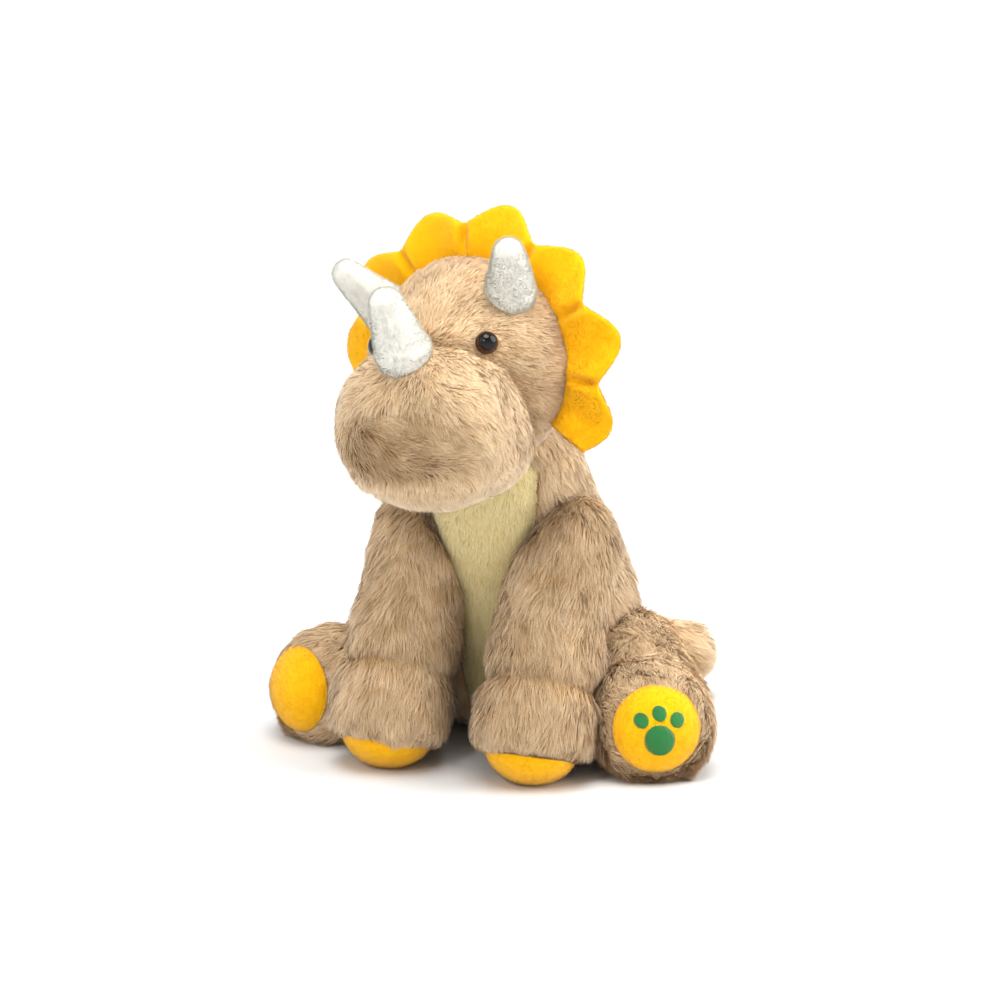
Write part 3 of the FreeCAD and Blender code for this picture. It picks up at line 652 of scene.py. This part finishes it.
def sole_cap(name, way, end, end_r, body, nodes, seed):
    """A yellow round sole, slightly domed, with a rolled rim."""
    up, left = sole_axes(way)
    rings, spokes = 22, 96
    verts = []
    for layer, lift in enumerate((0.0, -1.6)):
        for ring in range(1, rings + 1):
            share = ring / rings
            out = (SOLE_R + 0.3) * share
            rise = math.sqrt(end_r ** 2 - out ** 2) + lift + (1 - layer) * (0.5 - 1.3 * share ** 14)
            for spoke in range(spokes):
                a = 2 * math.pi * spoke / spokes
                verts.append(end + way * rise + (left * math.cos(a) + up * math.sin(a)) * out)
    verts.append(end + way * (end_r + 0.5))
    verts.append(end + way * (end_r - 1.6))
    verts = np.array(verts)
    verts += 0.35 * lumps(verts, 11, seed)[:, None] * way
    verts[:, 2] = np.maximum(verts[:, 2], 0.2)
    faces = []
    inner = rings * spokes
    for ring in range(rings - 1):
        for spoke in range(spokes):
            n = (spoke + 1) % spokes
            a, b = ring * spokes + spoke, ring * spokes + n
            faces.append([a, a + spokes, b + spokes, b])
            faces.append([inner + b, inner + b + spokes, inner + a + spokes, inner + a])
    for spoke in range(spokes):
        n = (spoke + 1) % spokes
        faces.append([2 * inner, spoke, n])
        faces.append([2 * inner + 1, inner + n, inner + spoke])
        rim = (rings - 1) * spokes
        faces.append([rim + spoke, inner + rim + spoke, inner + rim + n, rim + n])
    obj = mesh_object(name, verts, faces)
    paint(obj, YELLOW_SKIN)
    dress(obj, body, "yellow_plush", 0, *nodes)
    fuzz(name + "_pile", obj, body, seed, 5 * SHORT_PILE, 0.8, 0.22, YELLOW,
         keep=lambda p: (np.linalg.norm(p - end, axis=1) > end_r - 0.9) & (p[:, 2] > 0.4), lean=0.6)
    return obj


def mirror_x(v):
    return v * vec(-1, 1, 1)


def limb(name, side, root, root_r, end, end_r, swing, axis, seed, sole_way, least, overlap, painted_light_and_tone, nodes):
    """One furry limb; side is 1 for the toy's left and -1 for its right.

    The fur keeps the least share of its length at the sole's rim, where it overlaps the sole, and is made
    darker or lighter by the painted light and shade it is given: painted shade on the front legs, painted
    light on the hind legs and tail.  nodes are the CAD nodes that the limb stands for.
    """
    here = (lambda v: v) if side > 0 else mirror_x
    left_field = limb_field(root, root_r, end, end_r, swing, axis, seed, sole_way)
    field = left_field if side > 0 else (lambda p: left_field(mirror_x(p)))
    root, end = here(root), here(end)
    sole_way = None if sole_way is None else here(sole_way)
    base = formed(name + "_plush", [[(root, root_r), (end, end_r)]], field, 2.2)
    paint(base, FUR_SKIN)
    dress(base, name, "long_plush", 0.7, *nodes)
    way = unit(end - root)

    def clear(p):
        out = (pear(p) > 2.2) & (p[:, 2] > 1.2)
        if sole_way is not None:
            along = (p - end) @ sole_way
            off = np.linalg.norm(p - end - along[:, None] * sole_way, axis=1)
            out &= ~((along > 0) & (off < SOLE_R - overlap))
        return out

    def fold(p):
        """1 in the fold above a paw, 0 elsewhere."""
        return groove((end - p) @ way - ANKLE, 0.0 if sole_way is None else 1.0, 4.0)

    share = constant(1) if sole_way is None else away_from_sole(end, sole_way, 10, least)
    # In the fold above a paw the fur is shorter and darker; the darkening there is painted shade.
    grow(name + "_fur", base, name, seed, DENSITY, lambda p: (LIMB_FUR - 2 * fold(p)) * share(p), STRAND,
         constant(0.44), lambda p: np.tile(way + vec(0, 0, -0.15), (len(p), 1)), FUR,
         keep=clear, painted_light_and_tone=lambda p: painted_light_and_tone - 0.22 * fold(p))
    return base


LIMB_NODES = ("_stuffing", "_outer_panel", "_inner_panel")
for side, label in ((1, "left"), (-1, "right")):
    here = (lambda v: v) if side > 0 else mirror_x
    # The last number darkens the front legs with painted shade and lightens the hind legs with painted light.
    for kind, root, root_r, end, end_r, swing, axis, seed, way, least, overlap, painted_light_and_tone in (
            ("front_leg", SHOULDER, SHOULDER_R, PAW, PAW_R, SHOULDER_SWING, (-1, 0, 0), 30, FRONT_SOLE,
             0.45, -0.4, -0.13),
            ("hind_leg", HIP, HIP_R, FOOT, FOOT_R, HIP_SWING, (0, 0, 1), 50, HIND_SOLE, 0.6, -0.6, 0.06)):
        name = label + "_" + kind
        limb(name, side, root, root_r, end, end_r, swing, axis, seed + (5 if side > 0 else 0), way, least,
             overlap, painted_light_and_tone, [name + part for part in LIMB_NODES])
        sole_cap(name + "_sole_cap", here(way), here(end), end_r, name, [name + "_sole"], seed + 8)
# The tail is lightened with painted light.
limb("tail", 1, TAIL_ROOT, TAIL_ROOT_R, TAIL_TIP, TAIL_TIP_R, TAIL_SWING, (0, 0, 1), 70, None, 1, 0, 0.08,
     ["tail" + part for part in LIMB_NODES])


# ---------------------------------------------------------------- head
head = formed("head_plush", [[(HEAD_AT, HEAD_R)], [(from_head(MUZZLE_LOW), MUZZLE_R),
                                                   (from_head(MUZZLE_HIGH), MUZZLE_R)]], head_field, 2.2)
paint(head, FUR_SKIN)
dress(head, "head", "long_plush", 0.75, "head_back_panel", "forehead_panel", "left_cheek_panel",
      "right_cheek_panel", "head_stuffing", "muzzle_top_panel", "muzzle_front_panel", "chin_panel",
      "muzzle_stuffing", "neck_wad")


def horn_clear(q):
    """Distance from the nearest horn, in the head's own frame."""
    return np.min([round_cone(q, *sizes) for sizes in (LEFT_BROW, RIGHT_BROW, NOSE_HORN)], axis=0)


def eye_distance(q):
    side = q.copy()
    side[:, 0] = np.abs(side[:, 0])
    return np.linalg.norm(side - unit(EYE) * HEAD_R, axis=1)


def on_muzzle(q):
    return muzzle_crease(q) < 0


def head_clear(p):
    q = to_head(p)
    off_neck = np.linalg.norm(p - NECK, axis=1) > NECK_R + 2.5
    return off_neck & (horn_clear(q) > -2.5) & (eye_distance(q) > 4.4)


def head_flow(p):
    q = to_head(p)
    away = unit(q - vec(0, -62, -4))
    ball_way = away * 0.8 + vec(0, 0.5, -0.25)
    muzzle_way = unit(q - vec(0, -50, 12)) * vec(1.2, 1, 0.7)
    front = muzzle_front(q)[:, None]
    chin = step(CHIN_SEAM + 2, CHIN_SEAM - 3, q[:, 2])[:, None]
    front_way = np.stack([0.55 + 0.5 * lumps(q, 18, 97), np.zeros(len(q)),
                          0.7 * lumps(q, 16, 98) - 0.35], axis=1)
    muzzle_way = muzzle_way * (1 - front) + front_way * front
    muzzle_way = muzzle_way * (1 - chin) + vec(0.0, 0.9, -0.5) * chin
    out = np.where(on_muzzle(q)[:, None], muzzle_way, ball_way)
    return out @ HEAD_TURN


def head_painted_light_and_tone(p):
    """The muzzle is lighter on top, painted light from above, and under the chin, its own lighter fur.
    It is darker in front, partly its own darker fur and partly painted shade.  The head is lighter
    higher up, painted light from above, and darker along the muzzle's crease, painted shade.
    """
    q = to_head(p)
    front = muzzle_front(q) * (0.75 + 0.45 * lumps(q, 9, 95))
    # Painted light on the muzzle's top and the upper head; painted shade, with darker fur, on the muzzle's
    # front.
    painted_light_and_tone = np.where(on_muzzle(q), 0.24 - 1.0 * front, 0.14 * step(-10, 25, q[:, 2]) - 0.08)
    # Painted shade along the crease where the muzzle meets the head.
    return painted_light_and_tone - groove(muzzle_crease(q), 0.4, 3.0)


def head_length(p):
    q = to_head(p)
    out = np.where(on_muzzle(q), 7.5 + 2.5 * muzzle_front(q), 7.0)
    out = out * (0.35 + 0.65 * step(3, 13, eye_distance(q))) * (1 - groove(muzzle_crease(q), 0.35, 4))
    return out * (0.7 + 0.3 * step(0, 9, horn_clear(q)))


grow("head_fur", head, "head", 80, DENSITY * 1.2, head_length, STRAND, constant(0.38), head_flow, FUR,
     keep=lambda p: head_clear(p) & ~on_muzzle(to_head(p)), clump=3.4, pull=0.36, swirl=0.4,
     painted_light_and_tone=head_painted_light_and_tone)
grow("muzzle_fur", head, "head", 90, DENSITY * 1.3, head_length, STRAND, constant(0.45), head_flow, FUR,
     keep=lambda p: head_clear(p) & on_muzzle(to_head(p)), clump=3.8, pull=0.4, swirl=0.7,
     painted_light_and_tone=head_painted_light_and_tone)


# ---------------------------------------------------------------- horns
def horn(name, root, root_r, tip, tip_r, seed, nodes):
    a, b = from_head(root[None])[0], from_head(tip[None])[0]
    way = unit(b - a)
    front = unit(np.cross(way, np.cross(vec(0, -1, 0.2), way)))

    def field(p):
        rel = p - a
        along = rel @ way
        off = rel - along[:, None] * way
        sideways = off @ np.cross(way, front)
        f = round_cone(p, a, root_r, b, tip_r) + 0.35 * lumps(p, 7, seed)
        f = f + 0.2 * np.sin(along * 0.9 + 0.35 * sideways) * step(16, 2, along)
        return f + groove(sideways, 0.3, 1.2) * (off @ front > 0)

    obj = formed(name + "_plush", [[(a, root_r), (b, tip_r)]], field, 1.1)
    paint(obj, WHITE_SKIN)
    dress(obj, "head", "white_plush", 0.85, *nodes)
    fuzz(name + "_pile", obj, "head", seed, 8 * SHORT_PILE, 1.2, 0.2, IVORY,
         keep=lambda p: head_field(p) > -2, flow=lambda p: np.tile(way, (len(p), 1)))


for label, sizes, seed in (("nose_horn", NOSE_HORN, 110), ("left_brow_horn", LEFT_BROW, 117),
                           ("right_brow_horn", RIGHT_BROW, 115)):
    horn(label, *sizes, seed, [label + "_cover", label + "_stuffing"])


# ---------------------------------------------------------------- frill
LOBE_STEP, FRILL_END = 33.0, 129.0
FRILL_Y, FRILL_Z, FRILL_HALF = 4.0, -3.0, 5.0
FRILL_ROOT_R, DIP_R, PEAK_R = 43, 62.5, 71.2


def frill_rim(a):
    """Radius of the scalloped edge at an angle from straight up, in degrees."""
    wave = 0.5 - 0.5 * np.cos(2 * math.pi * a / LOBE_STEP)
    return DIP_R + (PEAK_R - DIP_R) * (wave + 0.02) ** 0.72 + 0.8 * np.sin(np.radians(a * 5.3 + 20))


def frill():
    columns, rows = 529, 26
    angle = np.linspace(-FRILL_END, FRILL_END, columns)
    share = np.linspace(0, 1, rows) ** 0.8
    rim = frill_rim(angle)
    near = np.abs((angle + LOBE_STEP / 2) % LOBE_STEP - LOBE_STEP / 2)
    verts = []
    wave = (2.0 * np.sin(np.radians(angle * 2.3 + 40))
            - 2.6 * np.cos(2 * math.pi * angle / LOBE_STEP) * (1 + 0.4 * np.sin(np.radians(angle * 1.7))))
    for sign in (1, -1):
        for s in share:
            r = FRILL_ROOT_R + (rim - FRILL_ROOT_R) * s
            gap = np.radians(near) * r
            crease = 1 - 0.8 * np.exp(-(gap / 2.2) ** 2) * (0.25 + 0.75 * step(0.2, 0.8, np.array([s])))
            ends = step(0, 2.5, FRILL_END - np.abs(angle))
            puff = (1 - s ** 5) ** 0.5 * (0.72 + 0.28 * math.sin(math.pi * min(1, s)))
            lobe = 0.8 + 0.2 * np.cos(np.radians(near * 10))
            half = FRILL_HALF * puff * crease * (0.15 + 0.85 * ends) * lobe
            y = FRILL_Y + sign * half + wave * s * s
            x, z = r * np.sin(np.radians(angle)), FRILL_Z + r * np.cos(np.radians(angle))
            verts.append(np.stack([x, y, z], axis=1))
    verts = np.concatenate(verts)
    verts = from_head(verts)
    verts = verts + 0.5 * lumps(verts, 9, 130)[:, None] * (vec(0, 1, 0) @ HEAD_TURN)
    front = grid_faces(rows, columns)
    back = grid_faces(rows, columns, rows * columns, flip=True)
    skirt = []
    shift = rows * columns
    for c in range(columns - 1):
        for row, order in ((0, 1), (rows - 1, -1)):
            at = row * columns + c
            skirt.append([at, at + 1, shift + at + 1, shift + at][::-order])
    for r in range(rows - 1):
        for column, order in ((0, -1), (columns - 1, 1)):
            at = r * columns + column
            skirt.append([at, at + columns, shift + at + columns, shift + at][::order])
    obj = mesh_object("frill_plush", verts, front.tolist() + back.tolist() + skirt)
    bm = bmesh.new()
    bm.from_mesh(obj.data)
    bmesh.ops.remove_doubles(bm, verts=bm.verts, dist=0.02 * MM)
    bmesh.ops.recalc_face_normals(bm, faces=bm.faces)
    bm.to_mesh(obj.data)
    bm.free()
    obj.data.polygons.foreach_set("use_smooth", np.ones(len(obj.data.polygons), bool))
    return obj


collar = frill()
paint(collar, YELLOW_SKIN)
dress(collar, "head", "yellow_plush", 0.5, "frill_front", "frill_back", "frill_wadding")
fuzz("frill_pile", collar, "head", 131, 6 * SHORT_PILE, 0.9, 0.22, YELLOW,
     keep=lambda p: np.linalg.norm(to_head(p), axis=1) > HEAD_R,
     flow=lambda p: unit(p - HEAD_AT))


# ---------------------------------------------------------------- eyes
def lathe(name, profile, place, steps=64):
    """A turned form: profile is (radius, height) pairs from the axis outward and back."""
    verts, faces = [], []
    for radius, height in profile:
        for i in range(steps):
            a = 2 * math.pi * i / steps
            verts.append([radius * math.cos(a), radius * math.sin(a), height])
    for ring in range(len(profile) - 1):
        for i in range(steps):
            n = (i + 1) % steps
            faces.append([ring * steps + i, ring * steps + n, (ring + 1) * steps + n, (ring + 1) * steps + i])
    faces.append(list(range(steps))[::-1])
    faces.append([(len(profile) - 1) * steps + i for i in range(steps)])
    verts = np.array(verts) @ np.array(place.to_3x3()).T + np.array(place.translation)
    obj = mesh_object(name, verts, faces)
    bm = bmesh.new()
    bm.from_mesh(obj.data)
    bmesh.ops.recalc_face_normals(bm, faces=bm.faces)
    bm.to_mesh(obj.data)
    bm.free()
    return obj


def speckled(name, roughness, scale, detail, low, high, glossy=False):
    """A smooth finish with faint random specks."""
    material, tree, shader = new_material(name, roughness)
    specks = add(tree, "ShaderNodeTexNoise", Scale=scale, Detail=detail)
    if glossy:
        shader.inputs["Specular IOR Level"].default_value = 0.3
        tree.links.new(add(tree, "ShaderNodeTexCoord").outputs["Object"], specks.inputs["Vector"])
    tree.links.new(ramp(tree, specks.outputs["Fac"], (0.3, low), (0.7, high)), shader.inputs["Base Color"])
    return material


EYE_BLACK = speckled("eye_gloss", 0.06, 400.0, 2.0, (0.004, 0.003, 0.003, 1), (0.008, 0.006, 0.005, 1), True)
EYE_BROWN = speckled("eye_iris", 0.1, 900.0, 3.0, colour(44, 22, 10), colour(84, 46, 22), True)
WASHER_PLASTIC = speckled("washer_plastic", 0.5, 300.0, 3.0, colour(225, 225, 220), colour(240, 240, 236))
EYE_R, IRIS_R = 5.0, 3.9
for side, label in ((1, "left"), (-1, "right")):
    out_way = unit(EYE * vec(side, 1, 1))
    at = from_head((out_way * (HEAD_R + 0.6))[None])[0]
    way = Vector(out_way @ HEAD_TURN)
    place = Matrix.Translation(Vector(at)) @ way.to_track_quat("Z", "Y").to_matrix().to_4x4()
    dome = [(EYE_R * math.sin(a), 4.4 * math.cos(a)) for a in np.linspace(0.03, math.pi / 2, 22)]
    stem = [(EYE_R, -1.2), (1.8, -1.4), (1.8, -12), (0.05, -12)]
    eye = lathe(label + "_eye_glossy", dome + stem, place)
    paint(eye, EYE_BLACK, EYE_BROWN, lambda m, c=at, w=np.array(way): (
        np.linalg.norm(m - c - ((m - c) @ w)[:, None] * w, axis=1) > IRIS_R) & ((m - c) @ w > -0.2))
    dress(eye, "head", "eye_gloss", 0, label + "_eye")
    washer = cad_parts[label + "_eye_washer"]
    washer.data.materials.clear()
    washer.data.materials.append(WASHER_PLASTIC)


# ---------------------------------------------------------------- trimmings on the torso and sole
def thread_material(name, low, high):
    material, tree, shader = new_material(name, 0.45, 0.4)
    place = add(tree, "ShaderNodeTexCoord").outputs["Object"]
    wave = add(tree, "ShaderNodeTexWave", [(place, "Vector")], Scale=700.0, Distortion=1.5, Detail=2.0)
    tree.links.new(ramp(tree, wave.outputs["Fac"], (0.2, low), (0.8, high)), shader.inputs["Base Color"])
    raised = add(tree, "ShaderNodeBump", [(wave.outputs["Fac"], "Height")], Strength=0.4, Distance=0.0003)
    tree.links.new(raised.outputs["Normal"], shader.inputs["Normal"])
    return material


GREEN_THREAD = thread_material("green_thread", colour(18, 92, 40), colour(46, 140, 66))
BROWN_THREAD = thread_material("brown_thread", colour(96, 66, 44), colour(140, 104, 74))


def tube(points, radius, sides=6):
    """Vertices and faces of a closed tube along points."""
    points = np.asarray(points, float)
    tangent = unit(np.gradient(points, axis=0))
    across = unit(np.cross(tangent, vec(0.13, 0.21, 0.97)))
    other = np.cross(tangent, across)
    ends = np.ones(len(points))
    ends[0] = ends[-1] = 0.35
    a = np.linspace(0, 2 * math.pi, sides, endpoint=False)
    ring = (across[:, None] * np.cos(a)[None, :, None] + other[:, None] * np.sin(a)[None, :, None])
    verts = (points[:, None] + ring * (radius * ends)[:, None, None]).reshape(-1, 3)
    faces = [[r * sides + i, r * sides + (i + 1) % sides, (r + 1) * sides + (i + 1) % sides,
              (r + 1) * sides + i] for r in range(len(points) - 1) for i in range(sides)]
    faces.append(list(range(sides))[::-1])
    faces.append([(len(points) - 1) * sides + i for i in range(sides)])
    return verts, faces


PAD_R, TOE_R, PAD_DROP, TOE_OUT, TOE_SPREAD = 7, 3.4, 3.5, 12, 42


def embroidery():
    """A three-toed footprint in satin stitch on the left hind sole."""
    way = HIND_SOLE
    up, left = sole_axes(way)
    rng = np.random.default_rng(150)
    verts, faces = [], []
    shapes = [(0, -PAD_DROP, PAD_R)]
    for k in (-1, 0, 1):
        a = math.radians(90 + TOE_SPREAD * k)
        shapes.append((TOE_OUT * math.cos(a), TOE_OUT * math.sin(a) - PAD_DROP, TOE_R))
    for x0, y0, radius in shapes:
        slant = math.radians(24)
        for off in np.arange(-radius + 0.2, radius, 0.36):
            half = math.sqrt(max(0, radius ** 2 - off ** 2)) * rng.uniform(0.95, 1.04)
            if half < 0.35:
                continue
            t = np.linspace(-half, half, 9)
            x = x0 + t * math.cos(slant) - off * math.sin(slant)
            y = y0 + t * math.sin(slant) + off * math.cos(slant)
            crown = 0.55 * np.sqrt(np.clip(1 - (t / half) ** 2, 0, 1))
            rise = np.sqrt(FOOT_R ** 2 - x ** 2 - y ** 2) + 0.55 + crown
            v, f = tube(FOOT + rise[:, None] * way + x[:, None] * left + y[:, None] * up, 0.24)
            faces += [[i + len(verts) for i in face] for face in f]
            verts += v.tolist()
    obj = mesh_object("footprint_stitches", verts, faces)
    paint(obj, GREEN_THREAD)
    dress(obj, "left_hind_leg", "green_thread", 0, "footprint_embroidery")


embroidery()

LEAN = unit(NECK - RUMP)
OUTWARD = vec(0, LEAN[2], -LEAN[1])


def back_point(along, lift=0.0):
    """On the back seam, this far up from the rump's centre."""
    share = along / np.linalg.norm(NECK - RUMP)
    return RUMP + LEAN * along + OUTWARD * (RUMP_R + (NECK_R - RUMP_R) * share + lift)


def closing_seam():
    """The hand-closed seam: small slanted stitches across the seam up the back."""
    verts, faces = [], []
    for number in range(11):
        place = back_point(40 + 3.6 * number, -1.2)
        slant = vec(1.6, 0, 0) + LEAN * 0.9
        ends = (place - slant, place + OUTWARD * 0.6, place + slant)
        v, f = tube(np.array(ends), 0.35)
        faces += [[i + len(verts) for i in face] for face in f]
        verts += v.tolist()
    stitches = mesh_object("closing_seam_stitches", verts, faces)
    paint(stitches, BROWN_THREAD)
    dress(stitches, "torso", "brown_thread", 0, "closing_seam_thread")


closing_seam()

LABEL_OUT, LABEL_WIDE = 16, 20


def care_label():
    """A blank satin label, folded double, standing out of the back seam."""
    rows, columns = 21, 25
    verts = []
    foot = RUMP + LEAN * 22 + OUTWARD * (RUMP_R - 3.5)
    for layer in (0.32, -0.32):
        for i in range(rows):
            for s in np.linspace(0, 1, columns):
                curl = 1.1 * math.sin(2.4 * s + 0.5 * i / rows) * s
                along = LABEL_WIDE * (i / (rows - 1) - 0.5)
                verts.append(foot + OUTWARD * (LABEL_OUT * s) + LEAN * along + vec(layer + curl, 0, 0))
    faces = grid_faces(rows, columns).tolist()
    faces += grid_faces(rows, columns, rows * columns, flip=True).tolist()
    shift = rows * columns
    edge = ([(0, c) for c in range(columns)] + [(r, columns - 1) for r in range(1, rows)]
            + [(rows - 1, c) for c in range(columns - 2, -1, -1)] + [(r, 0) for r in range(rows - 2, 0, -1)])
    for k, (r, c) in enumerate(edge):
        r2, c2 = edge[(k + 1) % len(edge)]
        a, b = r * columns + c, r2 * columns + c2
        faces.append([a, b, shift + b, shift + a])
    obj = mesh_object("care_label_satin", verts, faces)
    material, tree, shader = new_material("label_satin", 0.35, 0.3)
    place = add(tree, "ShaderNodeTexCoord").outputs["Object"]
    weave = add(tree, "ShaderNodeTexWave", [(place, "Vector")], Scale=600.0, Distortion=0.3)
    white = ramp(tree, weave.outputs["Fac"], (0.0, colour(236, 236, 232)), (1.0, colour(250, 250, 248)))
    tree.links.new(white, shader.inputs["Base Color"])
    raised = add(tree, "ShaderNodeBump", [(weave.outputs["Fac"], "Height")], Strength=0.2, Distance=0.0002)
    tree.links.new(raised.outputs["Normal"], shader.inputs["Normal"])
    paint(obj, material)
    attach(obj, "torso")
    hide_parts("care_label")
    return obj


label = care_label()


# ---------------------------------------------------------------- floor, light and camera
REACH = 60000
corners = [(-REACH, -REACH, 0), (REACH, -REACH, 0), (REACH, REACH, 0), (-REACH, REACH, 0)]
floor = mesh_object("studio_floor", corners, [[0, 1, 2, 3]], smooth=False)
paint(floor, speckled("studio_floor", 0.9, 3.0, 2.0, (0.72, 0.72, 0.72, 1), (0.74, 0.74, 0.74, 1)))

world = bpy.data.worlds.new("studio")
world.use_nodes = True
# A pale studio wall all round, under a dimmer ceiling.
sky = world.node_tree
toward = add(sky, "ShaderNodeTexCoord").outputs["Generated"]
height = add(sky, "ShaderNodeSeparateXYZ", [(toward, "Vector")]).outputs["Z"]
wall_to_ceiling = ramp(sky, height, (0.16, WHITE), (0.6, (0.36, 0.36, 0.36, 1)))
sky.links.new(wall_to_ceiling, sky.nodes["Background"].inputs["Color"])
sky.nodes["Background"].inputs["Strength"].default_value = 1.0
scene.world = world
scene.view_settings.view_transform = "Standard"


def soft_sun(name, place, strength, spread):
    """A broad studio light that falls evenly over the whole floor."""
    lamp = bpy.data.lights.new(name, "SUN")
    lamp.energy = strength
    lamp.angle = math.radians(spread)
    obj = bpy.data.objects.new(name, lamp)
    obj.location = Vector(place)
    obj.rotation_euler = (-Vector(place)).to_track_quat("-Z", "Y").to_euler()
    scene.collection.objects.link(obj)


soft_sun("key", (-0.9, -1.1, 1.0), 0.35, 35)
soft_sun("fill", (1.3, 0.35, 0.9), 2.5, 50)
soft_sun("top", (0.1, -0.35, 1.5), 2.9, 40)

sparkle = bpy.data.lights.new("sparkle", "AREA")
sparkle.energy, sparkle.size = 2.0, 0.14
lamp = bpy.data.objects.new("sparkle", sparkle)
lamp.location = (-0.05, -0.95, 0.75)
lamp.rotation_euler = (Vector((0, 0, 0.2)) - lamp.location).to_track_quat("-Z", "Y").to_euler()
scene.collection.objects.link(lamp)

AZIMUTH, ELEVATION, DISTANCE = math.radians(22), math.radians(12), 1.4
target = Vector((-0.0042, 0.0019, 0.1143))
back = Vector((math.sin(AZIMUTH) * math.cos(ELEVATION), -math.cos(AZIMUTH) * math.cos(ELEVATION),
               math.sin(ELEVATION)))
camera = bpy.data.objects.new("camera", bpy.data.cameras.new("camera"))
camera.data.lens = 109
camera.data.sensor_width = 36
camera.location = target + back * DISTANCE
camera.rotation_euler = (-back).to_track_quat("-Z", "Y").to_euler()
scene.collection.objects.link(camera)
scene.camera = camera
